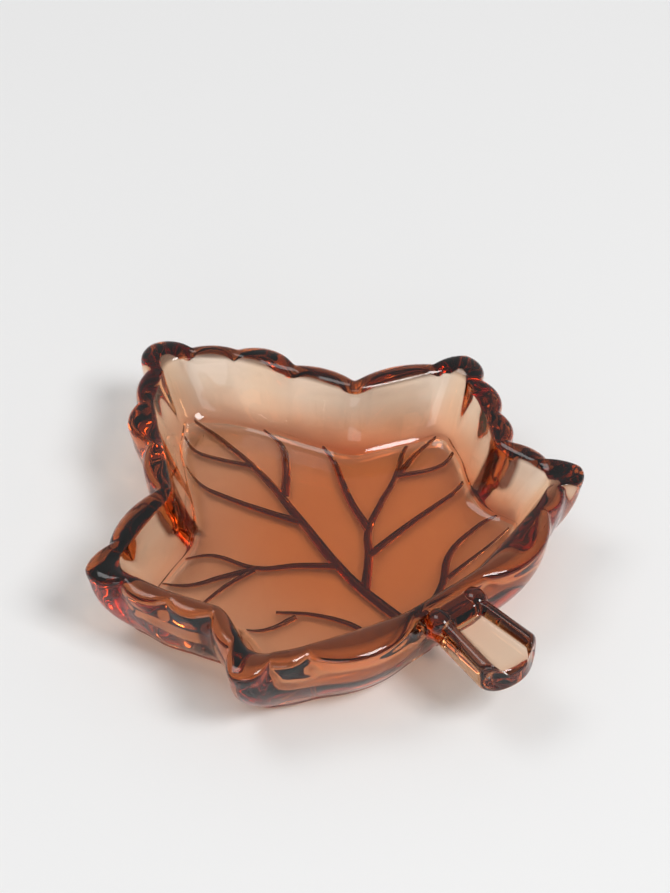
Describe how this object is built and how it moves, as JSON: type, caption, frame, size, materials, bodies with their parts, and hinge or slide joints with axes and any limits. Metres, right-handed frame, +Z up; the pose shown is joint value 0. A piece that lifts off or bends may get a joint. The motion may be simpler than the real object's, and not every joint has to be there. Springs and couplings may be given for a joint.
{
  "type": "leaf-shaped glass dish",
  "caption": "Amber pressed-glass dish in the shape of a maple leaf, with a scalloped rim, vein grooves under its floor and a channelled stem handle, on clear bumpers.",
  "frame": {"origin": "on the table, under the middle of the outline's width and length", "axes": "+Z up, +Y from the stem towards the leaf's tip, +X towards the right side lobe as seen from the stem"},
  "size_m": [0.1428, 0.1666, 0.0289],
  "materials": {
    "amber_glass": "fire-polished, glossy and clear",
    "clear_rubber": "clear satin"
  },
  "bodies": {
    "root": {"leaf_dish": "amber_glass", "tip_bumper": "clear_rubber", "left_bumper": "clear_rubber", "right_bumper": "clear_rubber"}
  },
  "joints": []
}
